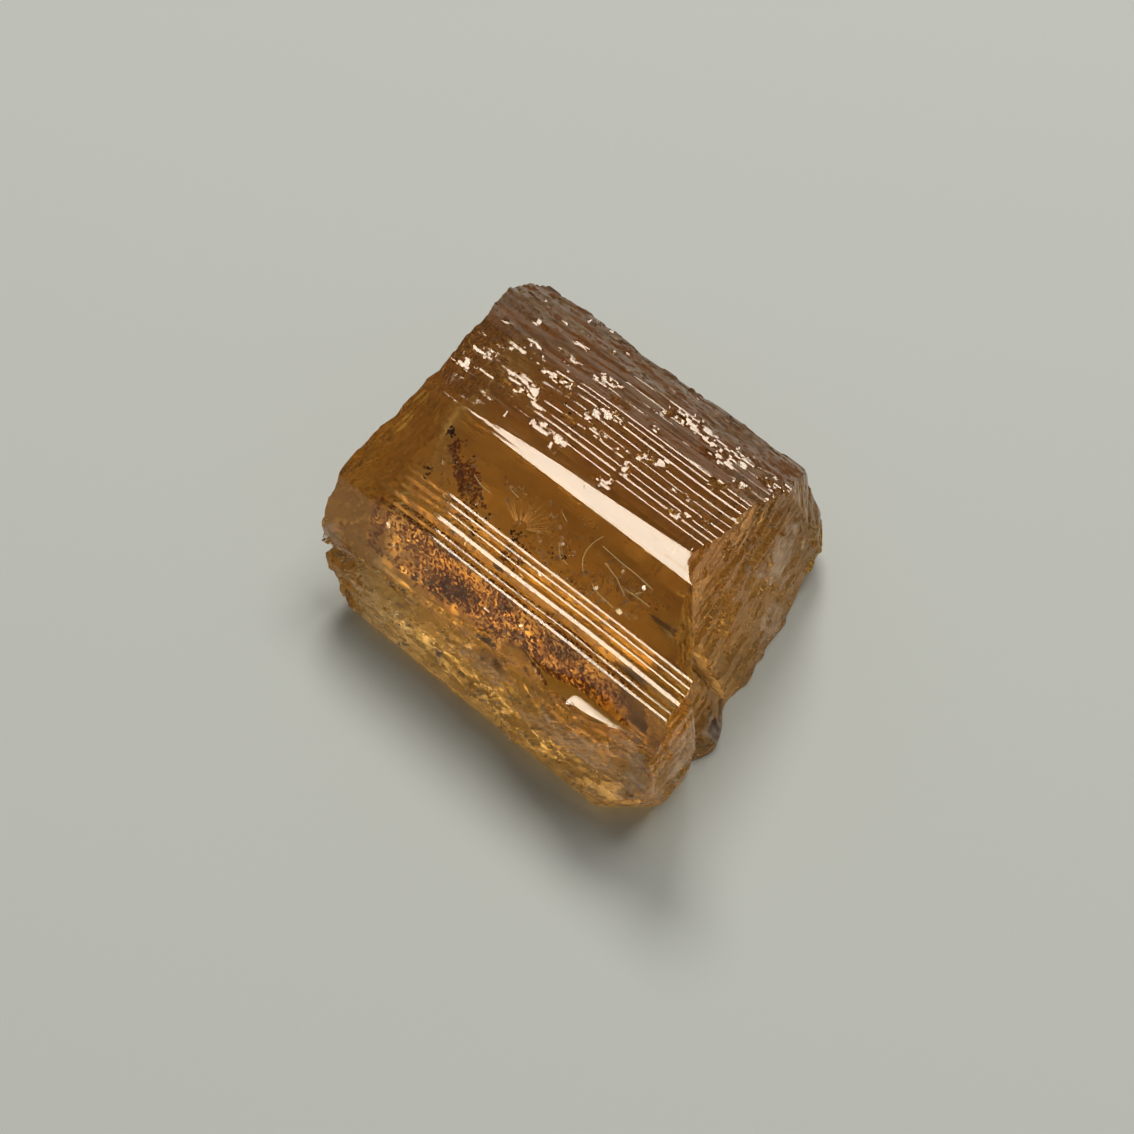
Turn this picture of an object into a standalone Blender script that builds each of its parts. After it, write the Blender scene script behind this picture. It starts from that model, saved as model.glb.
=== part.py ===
"""Imperial topaz crystal: a stout prism, striated along its length and broken across both ends.

One natural piece, lying on a prism face. Metres, +Z up, and +X along the crystal's c axis, which is the
way the striations run. The origin is under the middle of the crystal, on the surface that it rests on.
"""

import math

import bmesh
import bpy
from mathutils import Vector, noise

# Lengths in this file are millimetres, a size at which Booleans are exact enough, and each object is
# scaled to metres.
MM = 0.001

# The cell of topaz fixes the angles between its prism faces. Each slope here is a face's tilt across the
# crystal, in degrees from level, positive where the face looks to the front (-Y).
CELL_A = 4.65
CELL_B = 8.80
M_FACE = math.degrees(math.atan(CELL_A / CELL_B))
L_FACE = math.degrees(math.atan(2 * CELL_A / CELL_B))
LEVEL = 0.0
SHOULDER = L_FACE - M_FACE
FLANK = L_FACE + M_FACE
REAR_EDGE = -9.0
REAR_SLOPE = -22.0
REAR_SHOULDER = -33.0
REAR_BEVEL = L_FACE - 90.0
REAR_WALL = 2 * L_FACE - 180.0

# The prism's size: heights from the surface that it rests on, and widths across its faces.
FOOT_BEVEL = 0.35
FRONT_FOOT_Y = -0.12
FRONT_HEIGHT = 3.10
FRONT_PIECES = 9
SHELF_START = 8.2
SHELF_LENGTH = 3.1
SHELF_WIDTH = 0.40
FLANK_TOP_Y = 0.73
FLANK_TOP_Z = 4.49
SHOULDER_WIDTH = 1.78
RIDGE_WIDTH = 0.80
LEVEL_RIDGE = (0.38, 0.75)
REAR_SHOULDER_WIDTH = 1.85
REAR_BEVEL_WIDTH = 2.35
REAR_FOOT_HEIGHT = 0.5
REAR_FOOT_BEVEL = 0.45
BASE_PIECES = 24

# The stairs of growth steps: (rise, width of the level tread) in front of the shoulder face, and
# (width of the slope, width of the level tread) behind the ridge.
FRONT_STAIR = [(0.30, 0.12), (0.13, 0.10), (0.26, 0.20), (0.11, 0.09), (0.17, 0.10), (0.11, 0.12)]
REAR_STAIR = [
    (0.37, 0.07), (0.20, 0.09), (0.14, 0.07), (0.24, 0.07), (0.52, 0.07), (0.28, 0.09), (0.28, 0.12),
]

# Grooves in the face that the crystal lies on: (place across, width, depth).
BASE_GROOVES = [(1.9, 0.6, 0.10), (3.2, 0.5, 0.07), (5.9, 1.1, 0.16), (7.6, 0.6, 0.09)]

# Etch pits behind the ridge: (place along, place across, length).
PITS = [
    (2.6, 5.0, 0.55),
    (3.5, 6.3, 0.60),
    (4.6, 5.3, 0.50),
    (4.9, 6.9, 0.70),
    (6.0, 7.9, 0.65),
    (6.7, 6.1, 0.45),
    (7.5, 7.4, 0.60),
    (8.5, 6.6, 0.55),
    (9.2, 7.9, 0.70),
]
PIT_WIDTH = 0.5
PIT_DEPTH = 0.36

# In the +X end: an open cleft from its top to its tip, and round hollows as (x, y, z, radius).
GASH_TOP = (10.62, 3.64, 2.75)
GASH_TIP = (10.98, 4.48, 0.40)
GASH_RADIUS = 0.34
END_HOLLOWS = [(11.52, 3.47, 0.71, 0.24), (11.42, 2.85, 0.55, 0.26)]

# The rough prism is longer than the crystal, and the breaks cut it to length: one across each end, and
# one that chips the rear foot at +X. Each break is a middle, and a size across and up.
PRISM_START = -1.4
PRISM_END = 12.9
STATION_STEP = 0.45
BREAK_CELL = 0.34
BREAK_DEPTH = 4.0
END_BREAK_SIZE = (12.0, 9.0)
RIGHT_BREAK = (11.0, 4.7, 3.1)
LEFT_BREAK = (1.4, 4.7, 3.1)
LEFT_MIDDLE = 1.36
CHIP_SIZE = (7.0, 7.0)
CHIP_MIDDLE = (10.05, 8.9, 0.6)
CHIP_NORMAL = (0.62, 0.50, -0.60)

# The middle of the finished crystal in the units above, which becomes the origin.
CENTRE_X = 5.576
CENTRE_Y = 4.965

TOPAZ_ORANGE = (0.62, 0.24, 0.05, 1.0)
TOPAZ_ROUGHNESS = 0.12
TOPAZ_IOR = 1.62


def clamp(value, low=0.0, high=1.0):
    return max(low, min(high, value))


def smooth_step(value, start, end):
    t = clamp((value - start) / (end - start))
    return t * t * (3 - 2 * t)


def hump(value, centre, width):
    return math.exp(-(((value - centre) / width) ** 2))


def grain(x, y, z, size, octaves=3, seed=0.0):
    """Fractal noise from about -1 to 1. size is the length of its largest waves along each axis."""
    place = Vector((x / size[0] + seed, y / size[1] - seed, z / size[2] + 2 * seed))
    return noise.fractal(place, 1.0, 2.0, octaves, noise_basis="PERLIN_ORIGINAL")


def ledges(height, step, sharpness=0.8):
    """Turns a smooth height into flat ledges with steep risers, as cleavage leaves them."""
    level = math.floor(height / step)
    part = height / step - level
    return step * (level + smooth_step(part, sharpness, 1.0))


def front_top(x):
    """Height of the edge between the broken front and the smooth flank: it wanders along the crystal."""
    low_left = 0.50 * (1 - smooth_step(x, 2.2, 6.2))
    crest = 0.62 * hump(x, 7.4, 1.1)
    shelf = 0.66 * smooth_step(x, 7.9, 9.6)
    return FRONT_HEIGHT - low_left + crest + shelf


def shelf_width(x):
    """A small level shelf under the flank, near the lobe's end: a lens in plan."""
    return SHELF_WIDTH * math.sin(math.pi * clamp((x - SHELF_START) / SHELF_LENGTH))


def stair_sharpness(x):
    """The growth steps are crisp at +X and fade away in the last third towards -X."""
    return 0.08 + 0.92 * smooth_step(x, 1.6, 4.6)


def ridge_slope(x):
    """The ridge is level where the steps are crisp, and rounds off towards -X."""
    return SHOULDER / 2 * (1 - smooth_step(x, 2.0, 6.0))


def ridge_width(x):
    """The level band along the ridge: a long taper, widest near +X."""
    narrow, wide = LEVEL_RIDGE
    return narrow + (wide - narrow) * smooth_step(x, 2.5, 8.5)


class Outline:
    """The cross-section, walked face by face. Each side keeps its slope, and how rough it is."""

    def __init__(self, y, z):
        self.points = [(y, z)]
        self.slopes = []
        self.rough = []

    def face(self, slope, width, pieces=1, rough=0.0):
        y, z = self.points[-1]
        angle = math.radians(slope)
        self.to(y + math.cos(angle) * width, z + math.sin(angle) * width, pieces, rough)

    def to(self, y, z, pieces=1, rough=0.0):
        start_y, start_z = self.points[-1]
        for i in range(1, pieces + 1):
            t = i / pieces
            self.points.append((start_y + (y - start_y) * t, start_z + (z - start_z) * t))
            self.slopes.append(math.degrees(math.atan2(z - start_z, y - start_y)))
            self.rough.append(rough)

    def stair(self, steps, riser, sharpness):
        """Pairs of a riser and a level tread. sharpness 1 leaves the steps whole, and 0 planes them off."""
        first = len(self.points) - 1
        for rise, tread in steps:
            self.face(riser, rise)
            self.face(LEVEL, tread)
        last = len(self.points) - 1
        start, end = self.points[first], self.points[last]
        for i in range(first + 1, last):
            t = (i - first) / (last - first)
            y, z = self.points[i]
            flat_y = start[0] + (end[0] - start[0]) * t
            flat_z = start[1] + (end[1] - start[1]) * t
            self.points[i] = (flat_y + (y - flat_y) * sharpness, flat_z + (z - flat_z) * sharpness)


def base_height(y):
    """How high the resting face stands off the surface: level, but for the grooves."""
    grooves = sum(depth * hump(y, place, width / 2) for place, width, depth in BASE_GROOVES)
    return max(0.0, grooves - 0.02)


def cross_section(x):
    top = front_top(x)
    flank_foot_y = FLANK_TOP_Y - (FLANK_TOP_Z - top) / math.tan(math.radians(FLANK))
    outline = Outline(FRONT_FOOT_Y, FOOT_BEVEL)
    outline.to(flank_foot_y - shelf_width(x) - 0.01, top, pieces=FRONT_PIECES, rough=1.0)
    outline.to(flank_foot_y, top)
    outline.to(FLANK_TOP_Y, FLANK_TOP_Z, pieces=3, rough=0.05)
    rises = [(rise / math.sin(math.radians(FLANK)), tread) for rise, tread in FRONT_STAIR]
    outline.stair(rises, FLANK, stair_sharpness(x))
    outline.face(SHOULDER, SHOULDER_WIDTH, pieces=4)
    outline.face(ridge_slope(x), ridge_width(x), pieces=2)
    outline.face(REAR_EDGE, RIDGE_WIDTH - ridge_width(x))
    outline.stair(REAR_STAIR, REAR_SLOPE, stair_sharpness(x))
    outline.face(REAR_SHOULDER, REAR_SHOULDER_WIDTH, pieces=4, rough=0.35)
    outline.face(REAR_BEVEL, REAR_BEVEL_WIDTH, pieces=5, rough=0.30)
    rear_drop = outline.points[-1][1] - REAR_FOOT_HEIGHT
    outline.face(REAR_WALL, rear_drop, pieces=6, rough=0.30)
    rear_y = outline.points[-1][0]
    outline.to(rear_y - REAR_FOOT_BEVEL, 0.0, rough=0.2)
    base_from = outline.points[-1][0]
    base_to = FRONT_FOOT_Y + FOOT_BEVEL
    for i in range(1, BASE_PIECES + 1):
        y = base_from + (base_to - base_from) * i / BASE_PIECES
        outline.to(y, base_height(y) if i < BASE_PIECES else 0.0)
    return outline


def front_relief(x, z):
    """The broken front: a hackly surface with ledges along the crystal, and one groove at the left."""
    waves = 0.20 * grain(x, 0.0, z, (3.0, 1.0, 1.3), seed=3.1)
    hackle = 0.16 * grain(x + 0.6 * z, 0.0, z, (1.1, 1.0, 0.5), seed=7.7)
    shape = ledges(waves + hackle, 0.11)
    groove = -0.30 * hump(z, 1.9 + 0.05 * x, 0.26) * (1 - smooth_step(x, 2.6, 4.8))
    return shape + groove


def relief(x, y, z, rough):
    """How far a point of the prism is pushed out along its face's normal."""
    sway = 0.015 * grain(x, y, z, (6.0, 2.5, 2.5), seed=1.3)
    if rough >= 0.9:
        return sway + front_relief(x, z)
    streaks = 0.32 * grain(x, y, z, (3.6, 0.8, 0.8), octaves=4, seed=5.2)
    return sway + rough * streaks


def planar_and_outward(mesh):
    """Rough surfaces have warped quads, so they are parted into triangles before any Boolean."""
    bmesh.ops.triangulate(mesh, faces=mesh.faces)
    bmesh.ops.recalc_face_normals(mesh, faces=mesh.faces)
    return mesh


def prism_mesh():
    """The rough prism: the cross-section repeated along X, each time with the relief of that place."""
    mesh = bmesh.new()
    stations = round((PRISM_END - PRISM_START) / STATION_STEP)
    rings = []
    for i in range(stations + 1):
        x = PRISM_START + (PRISM_END - PRISM_START) * i / stations
        outline = cross_section(x)
        ring = []
        for k, (y, z) in enumerate(outline.points[:-1]):
            turn = math.radians((outline.slopes[k - 1] + outline.slopes[k]) / 2)
            rough = min(outline.rough[k - 1], outline.rough[k])
            on_foot = k == 0 or z < FOOT_BEVEL
            out = 0.0 if on_foot else relief(x, y, z, rough)
            ring.append(mesh.verts.new((x, y - math.sin(turn) * out, z + math.cos(turn) * out)))
        rings.append(ring)
    count = len(rings[0])
    for first, second in zip(rings, rings[1:]):
        for k in range(count):
            n = (k + 1) % count
            mesh.faces.new((first[k], first[n], second[n], second[k]))
    mesh.faces.new(rings[0][::-1])
    mesh.faces.new(rings[-1])
    return planar_and_outward(mesh)


def hackle_of_break(s, t, seed):
    """Relief of a break across the crystal: cleavage ledges that run one way, over slow waves."""
    along, across = s + 0.2 * t, t - 0.2 * s
    waves = 0.20 * grain(along, across, 0.0, (3.4, 2.2, 1.0), seed=seed)
    hackle = 0.13 * grain(along, across, 0.0, (1.6, 0.55, 1.0), octaves=4, seed=seed + 4)
    return ledges(waves + hackle, 0.10)


def right_end(y, z):
    """Where the crystal ends at +X: a rear face, and in front of it a lobe that reaches further."""
    rear_face = min(11.72 - 0.17 * y - 0.17 * z, 9.05 + 0.9 * (9.5 - y) + 0.4 * (3.0 - z))
    lobe_face = 11.76 - 0.117 * y + 0.12 * z
    slant_face = 13.95 - 0.96 * y - 0.045 * z
    front_chip = 10.55 + 1.00 * y + 0.55 * z
    knob = 0.55 * hump(y, 3.4, 0.7) * hump(z, 0.5, 0.8)
    end = min(max(rear_face + knob, min(lobe_face, slant_face)), front_chip)
    return end + hackle_of_break(y, z, 11.0)


def left_end(y, z):
    """Where the crystal ends at -X: two faces that meet in a blunt middle."""
    rear_face = 1.38 - 0.38 * (y - 4.0)
    front_face = 1.55 - 0.34 * (2.9 - y)
    foot = 1.85 - 0.75 * z - 0.55 * y
    notch = 0.28 * (1 - smooth_step(z, 2.2, 2.6)) * (1 - smooth_step(y, 0.8, 1.6))
    end = max(min(rear_face, front_face, LEFT_MIDDLE), foot) + notch
    return end + 0.8 * hackle_of_break(y, z, 23.0)


def break_cutter(name, origin, normal, size, height):
    """A block that takes away all beyond a rough surface. height is that surface's relief along normal."""
    origin, normal = Vector(origin), Vector(normal).normalized()
    side = Vector((0, 1, 0)) if abs(normal.y) < 0.9 else Vector((1, 0, 0))
    t_axis = normal.cross(side).normalized()
    s_axis = t_axis.cross(normal).normalized()
    across, up = round(size[0] / BREAK_CELL), round(size[1] / BREAK_CELL)
    mesh = bmesh.new()
    bmesh.ops.create_grid(mesh, x_segments=across, y_segments=up, size=0.5)
    for vert in mesh.verts:
        s, t = vert.co.x * size[0], vert.co.y * size[1]
        place = origin + s_axis * s + t_axis * t
        vert.co = place + normal * height(place)
    grown = bmesh.ops.extrude_face_region(mesh, geom=mesh.faces[:], use_keep_orig=True)
    for vert in (item for item in grown["geom"] if isinstance(item, bmesh.types.BMVert)):
        vert.co += normal * (BREAK_DEPTH - (vert.co - origin).dot(normal))
    return new_object(name, planar_and_outward(mesh), cutters)


def gash_cutter():
    """The open cleft where the lobe meets the rear face: a three-sided spike laid down the end."""
    top, tip = Vector(GASH_TOP), Vector(GASH_TIP)
    mesh = bmesh.new()
    bmesh.ops.create_cone(
        mesh, cap_ends=True, segments=3, radius1=GASH_RADIUS, radius2=GASH_RADIUS / 12,
        depth=(tip - top).length,
    )
    obj = new_object("gash_cutter", mesh, cutters)
    obj.location = (top + tip) / 2
    obj.rotation_euler = (tip - top).to_track_quat("Z", "X").to_euler()
    return obj


def height_at(x, y):
    """Height of the prism's upper side at a place along and across it."""
    points = cross_section(x).points
    upper = points[FRONT_PIECES:]
    for (y0, z0), (y1, z1) in zip(upper, upper[1:]):
        if y0 <= y <= y1:
            return z0 + (z1 - z0) * (y - y0) / max(y1 - y0, 1e-6)
    return 0.0


def pit_cutter():
    """Etch pits: lens-shaped hollows drawn out along the crystal, half sunk in its upper side."""
    mesh = bmesh.new()
    for x, y, length in PITS:
        made = bmesh.ops.create_icosphere(mesh, subdivisions=1, radius=length / 2)["verts"]
        bmesh.ops.scale(mesh, vec=(1.0, PIT_WIDTH, PIT_DEPTH), verts=made)
        bmesh.ops.translate(mesh, vec=(x, y, height_at(x, y)), verts=made)
    for x, y, z, radius in END_HOLLOWS:
        made = bmesh.ops.create_icosphere(mesh, subdivisions=2, radius=radius)["verts"]
        bmesh.ops.translate(mesh, vec=(x, y, z), verts=made)
    return new_object("pit_cutter", mesh, cutters)


def new_object(name, mesh, collection):
    data = bpy.data.meshes.new(name)
    mesh.to_mesh(data)
    mesh.free()
    obj = bpy.data.objects.new(name, data)
    collection.objects.link(obj)
    return obj


def new_collection(name):
    collection = bpy.data.collections.new(name)
    bpy.context.scene.collection.children.link(collection)
    return collection


def topaz_material():
    material = bpy.data.materials.new("topaz")
    material.use_nodes = True
    shader = material.node_tree.nodes["Principled BSDF"]
    shader.inputs["Base Color"].default_value = TOPAZ_ORANGE
    shader.inputs["Roughness"].default_value = TOPAZ_ROUGHNESS
    shader.inputs["Metallic"].default_value = 0.0
    shader.inputs["IOR"].default_value = TOPAZ_IOR
    shader.inputs["Transmission Weight"].default_value = 0.9
    return material


def cut(obj, cutter):
    modifier = obj.modifiers.new(cutter.name, "BOOLEAN")
    modifier.operation = "DIFFERENCE"
    modifier.object = cutter
    modifier.solver = "EXACT"
    cutter.hide_render = True
    cutter.display_type = "WIRE"


def build():
    crystal = new_object("topaz_crystal", prism_mesh(), parts)
    crystal.data.materials.append(topaz_material())
    right = break_cutter(
        "right_end_cutter", RIGHT_BREAK, (1, 0, 0), END_BREAK_SIZE,
        lambda place: right_end(place.y, place.z) - RIGHT_BREAK[0],
    )
    left = break_cutter(
        "left_end_cutter", LEFT_BREAK, (-1, 0, 0), END_BREAK_SIZE,
        lambda place: LEFT_BREAK[0] - left_end(place.y, place.z),
    )
    rear_foot = break_cutter(
        "rear_foot_cutter", CHIP_MIDDLE, CHIP_NORMAL, CHIP_SIZE,
        lambda place: 0.7 * hackle_of_break(place.x, place.z, 31.0),
    )
    for cutter in (right, left, rear_foot, gash_cutter(), pit_cutter()):
        cut(crystal, cutter)
    for obj in [crystal, *cutters.objects]:
        obj.location = (obj.location - Vector((CENTRE_X, CENTRE_Y, 0.0))) * MM
        obj.scale = (MM, MM, MM)


for old in list(bpy.data.objects):
    bpy.data.objects.remove(old)
parts = new_collection("imperial_topaz")
cutters = new_collection("cutters")
build()
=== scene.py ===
# %% [markdown]
# A rough imperial topaz crystal: a stout orange-brown prism, about 13 mm long, lying on one of its own
# prism faces. It grew as a prism with level growth steps and fine striations along its length, and both
# ends are broken. This lesson builds its skin as one mesh, gives it a see-through material with colour
# that deepens along the light's path, and places the small healed cracks and grains inside.

# %% Load the frame
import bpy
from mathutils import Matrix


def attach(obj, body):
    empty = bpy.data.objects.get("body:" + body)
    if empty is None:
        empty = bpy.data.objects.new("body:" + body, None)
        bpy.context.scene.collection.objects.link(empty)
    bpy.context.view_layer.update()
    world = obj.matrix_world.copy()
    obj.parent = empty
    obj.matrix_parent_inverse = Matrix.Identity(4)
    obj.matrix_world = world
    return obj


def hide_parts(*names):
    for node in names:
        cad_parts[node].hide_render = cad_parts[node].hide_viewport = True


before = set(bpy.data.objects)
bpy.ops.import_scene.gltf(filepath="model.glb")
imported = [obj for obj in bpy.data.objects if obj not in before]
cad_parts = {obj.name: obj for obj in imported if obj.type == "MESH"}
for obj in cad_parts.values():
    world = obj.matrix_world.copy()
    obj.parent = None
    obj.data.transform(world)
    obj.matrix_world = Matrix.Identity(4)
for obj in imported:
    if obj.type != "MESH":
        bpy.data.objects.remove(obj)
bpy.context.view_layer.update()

# %% Tools
import math

import bmesh
import bpy
import numpy as np
from mathutils import Vector, geometry, noise

scene = bpy.context.scene
print("tools loaded")

# %% [markdown]
# The cell of topaz fixes the angles between its prism faces, so they are worked out from the cell's two
# lengths and not guessed. A slope is a face's tilt across the crystal in degrees, positive where the face
# looks to the front. Sizes are in millimetres until the mesh is finished.

# %% Sizes of the prism
MM = 0.001
CENTRE_X = 5.576
CENTRE_Y = 4.965
M_FACE = math.degrees(math.atan(4.65 / 8.80))
L_FACE = math.degrees(math.atan(2 * 4.65 / 8.80))
LEVEL = 0.0
SHOULDER = L_FACE - M_FACE
FLANK = L_FACE + M_FACE
REAR_EDGE = -9.0
REAR_SLOPE = -22.0
REAR_SHOULDER = -33.0
REAR_BEVEL = L_FACE - 90.0
REAR_WALL = 2 * L_FACE - 180.0
FOOT_BEVEL = 0.35
FRONT_FOOT_Y = -0.12
FRONT_HEIGHT = 3.10
FLANK_TOP = (0.73, 4.49)
SHOULDER_WIDTH = 1.78
RIDGE_WIDTH = 0.80
REAR_BEVEL_WIDTH = 2.35
REAR_FOOT_HEIGHT = 0.5
REAR_FOOT_BEVEL = 0.45
FRONT_STAIR = [(0.30, 0.12), (0.13, 0.10), (0.26, 0.20), (0.11, 0.09), (0.17, 0.10), (0.11, 0.12)]
REAR_STAIR = [
    (0.37, 0.07), (0.20, 0.09), (0.14, 0.07), (0.24, 0.07), (0.24, 0.05), (0.25, 0.08), (0.25, 0.09), (0.16, 0.06),
    (0.12, 0.08),
]
REAR_SHOULDER_STAIR = [(0.54, 0.05), (0.36, 0.04), (0.34, 0.05), (0.46, 0.03)]
LEVEL_SHARE = 0.52
BASE_GROOVES = [(1.9, 0.6, 0.10), (3.2, 0.5, 0.07), (5.9, 1.1, 0.16), (7.6, 0.6, 0.09)]
print("shoulder, flank and rear bevel slopes:", round(SHOULDER, 1), round(FLANK, 1), round(REAR_BEVEL, 1))

# %% [markdown]
# Almost every small form here is a smooth curve or a noise, so a few helpers that work on whole arrays
# keep the script fast: a smooth step, a hump, fractal noise read at many points at once, and ledges, which
# turn a smooth height into flats with steep risers, the way cleavage and etching leave a crystal.

# %% Array helpers
def smooth_step(value, start, end):
    t = np.clip((value - start) / (end - start), 0.0, 1.0)
    return t * t * (3 - 2 * t)


def hump(value, centre, width):
    return np.exp(-(((value - centre) / width) ** 2))


def grain(x, y, z, size, octaves=3, seed=0.0):
    """Fractal noise from about -1 to 1 at every point. size is its largest waves along each axis."""
    x, y, z = np.broadcast_arrays(np.asarray(x, float), np.asarray(y, float), np.asarray(z, float))
    places = np.stack([x / size[0] + seed, y / size[1] - seed, z / size[2] + 2 * seed], axis=-1)
    flat = places.reshape(-1, 3).tolist()
    values = [noise.fractal(p, 1.0, 2.0, octaves, noise_basis="PERLIN_ORIGINAL") for p in flat]
    return np.array(values).reshape(x.shape)


def ledges(height, step, sharpness=0.8):
    """Flat ledges with steep risers. sharpness is the share of each ledge that is flat."""
    level = np.floor(height / step)
    return step * (level + smooth_step(height / step - level, sharpness, 1.0))


print("helpers ready")

# %% [markdown]
# The cross-section is walked face by face, as a jeweller would read a crystal: broken front, narrow shelf,
# steep flank, a stair of growth steps, the shoulder, the bright level ridge, and the striated slope behind
# it. A stair is a pair of numbers for each step. The steps are crisp at one end and fade towards the other.

# %% Walk of the cross-section
def front_top(x):
    low_left = 0.50 * (1 - smooth_step(x, 2.2, 6.2))
    return FRONT_HEIGHT - low_left + 0.62 * hump(x, 7.4, 1.1) + 0.66 * smooth_step(x, 7.9, 9.6)


def base_height(y):
    grooves = sum(depth * hump(y, place, width / 2) for place, width, depth in BASE_GROOVES)
    return max(0.0, float(grooves) - 0.02)


def uneven(steps, x, key):
    """The same stair, with each step a little wider or narrower from place to place, and the same in all."""
    widths = np.array(steps)
    drift = np.array([[noise.noise((x / 3.4, key + 3.1 * i, j * 7.7)) for j in (0, 1)] for i in range(len(steps))])
    changed = widths * (1 + np.array([0.10, 0.35]) * drift)
    changed = changed * (widths.sum(axis=0) / changed.sum(axis=0))
    return changed.tolist()


def walk(x):
    """The corners of the cross-section at x as [zone, y, z], going from the front foot over the top."""
    sharp = float(0.08 + 0.92 * smooth_step(x, 1.6, 4.6))
    ridge_slope = float(7.5 * (1 - smooth_step(x, 2.2, 6.4)))
    ridge_width = float(np.interp(x, [2.4, 3.2, 3.75, 5.5, 10.1], [0.12, 0.18, 0.27, 0.45, 0.72]))
    shelf = 0.52 * math.sin(math.pi * min(1.0, max(0.0, (x - 7.8) / 3.5)))
    top = float(front_top(x))
    flank_foot = FLANK_TOP[0] - (FLANK_TOP[1] - top) / math.tan(math.radians(FLANK))
    path = [["foot", FRONT_FOOT_Y, FOOT_BEVEL]]

    def to(zone, y, z):
        path.append([zone, y, z])

    def face(zone, slope, width):
        angle = math.radians(slope)
        to(zone, path[-1][1] + math.cos(angle) * width, path[-1][2] + math.sin(angle) * width)

    def stair(zone, steps, riser):
        first = len(path) - 1
        for rise, tread in steps:
            face(zone, riser, rise)
            face(zone + "_tread", LEVEL, tread * LEVEL_SHARE)
            face(zone + "_ease", 11.0 if riser > 0 else -9.0, tread * (1 - LEVEL_SHARE))
        last = len(path) - 1
        start, end = path[first][1:], path[last][1:]
        for i in range(first + 1, last):
            t = (i - first) / (last - first)
            for axis in (0, 1):
                flat = start[axis] + (end[axis] - start[axis]) * t
                path[i][axis + 1] = flat + (path[i][axis + 1] - flat) * sharp

    to("front", flank_foot - shelf - 0.01, top)
    to("shelf", flank_foot, top)
    to("flank", *FLANK_TOP)
    rises = [(rise / math.sin(math.radians(FLANK)), tread) for rise, tread in uneven(FRONT_STAIR, x, 1.0)]
    stair("front_stair", rises, FLANK)
    face("shoulder", SHOULDER, SHOULDER_WIDTH)
    face("ridge", ridge_slope, ridge_width)
    face("ridge_rear", REAR_EDGE, RIDGE_WIDTH - ridge_width)
    stair("rear_stair", uneven(REAR_STAIR, x, 40.0), REAR_SLOPE)
    stair("rear_shoulder", uneven(REAR_SHOULDER_STAIR, x, 80.0), REAR_SHOULDER)
    face("rear_bevel", REAR_BEVEL, REAR_BEVEL_WIDTH)
    face("rear_wall", REAR_WALL, path[-1][2] - REAR_FOOT_HEIGHT)
    to("foot", path[-1][1] - REAR_FOOT_BEVEL, 0.0)
    base_from, base_to = path[-1][1], FRONT_FOOT_Y + FOOT_BEVEL
    for i in range(1, 25):
        y = base_from + (base_to - base_from) * i / 24
        to("base", y, base_height(y) if i < 24 else 0.0)
    to("foot", FRONT_FOOT_Y, FOOT_BEVEL)
    return path


print("corners in the walk:", len(walk(8.0)))

# %% [markdown]
# Every side of the walk is parted into short pieces, the same number at every place along the crystal, so
# the rings join up one to one. The pieces are shorter where the growth steps are, and long under the base,
# which nobody sees closely. The walks are kept as one table over x and read between its rows.

# %% Table of outlines
PIECE = {
    "front": 0.056, "shelf": 0.06, "flank": 0.06, "front_stair": 0.06, "front_stair_tread": 0.05,
    "shoulder": 0.062, "ridge": 0.055, "ridge_rear": 0.06, "rear_stair": 0.065, "rear_stair_tread": 0.05,
    "rear_shoulder": 0.06, "rear_shoulder_tread": 0.05, "front_stair_ease": 0.06, "rear_stair_ease": 0.06,
    "rear_shoulder_ease": 0.06, "rear_bevel": 0.065, "rear_wall": 0.10,
    "base": 0.22, "foot": 0.12,
}
TABLE_START, TABLE_STEP, TABLE_ROWS = -1.2, 0.1, 142
nominal = walk(8.4)
counts = []
for (_, y0, z0), (zone, y1, z1) in zip(nominal, nominal[1:]):
    counts.append(max(1, round(math.hypot(y1 - y0, z1 - z0) / PIECE[zone])))
zone_of = np.array([side[0] for side, count in zip(nominal[1:], counts) for _ in range(count)])


def fine_outline(x):
    path = np.array([[y, z] for _, y, z in walk(x)])
    runs = [np.linspace(path[i], path[i + 1], counts[i], endpoint=False) for i in range(len(counts))]
    return np.concatenate(runs)


outlines = np.array([fine_outline(TABLE_START + TABLE_STEP * i) for i in range(TABLE_ROWS)])
AROUND = outlines.shape[1]
print("points around the crystal:", AROUND)

# %% [markdown]
# Relief is pushed out along the face, so each point needs a direction. Taken from the outline itself the
# directions would jump at every growth step and the relief would fold over, so they are taken from a
# smoothed outline. The weights that say how much of each kind of relief a point has are smoothed as well.

# %% Directions and weights around the outline
def smoothed(values, reach, axis):
    total = values.copy()
    for shift in range(1, reach + 1):
        total = total + np.roll(values, shift, axis) + np.roll(values, -shift, axis)
    return total / (2 * reach + 1)


calm = smoothed(smoothed(outlines, 5, 1), 5, 1)
along = np.roll(calm, -1, 1) - np.roll(calm, 1, 1)
along = along / np.linalg.norm(along, axis=2, keepdims=True)
directions = np.stack([-along[..., 1], along[..., 0]], axis=2)


def weight(*zones, reach=3):
    return smoothed(np.isin(zone_of, zones).astype(float), reach, 0)


WEIGHTS = {
    "front": weight("front") * (1 - weight("shelf", reach=1)),
    "flank": weight("flank"),
    "rear_stair": weight("rear_stair", "rear_stair_tread", "rear_stair_ease", "ridge_rear"),
    "rear_shoulder": weight("rear_shoulder", "rear_shoulder_tread", "rear_shoulder_ease"),
    "rear": weight("rear_bevel", "rear_wall"),
    "bevel": weight("rear_bevel"),
    "shoulder": weight("shoulder", "ridge"),
    "steps": weight("front_stair", "front_stair_tread", "front_stair_ease"),
    "base": weight("base", "foot", reach=1),
}
print("kinds of surface:", len(WEIGHTS))

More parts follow.
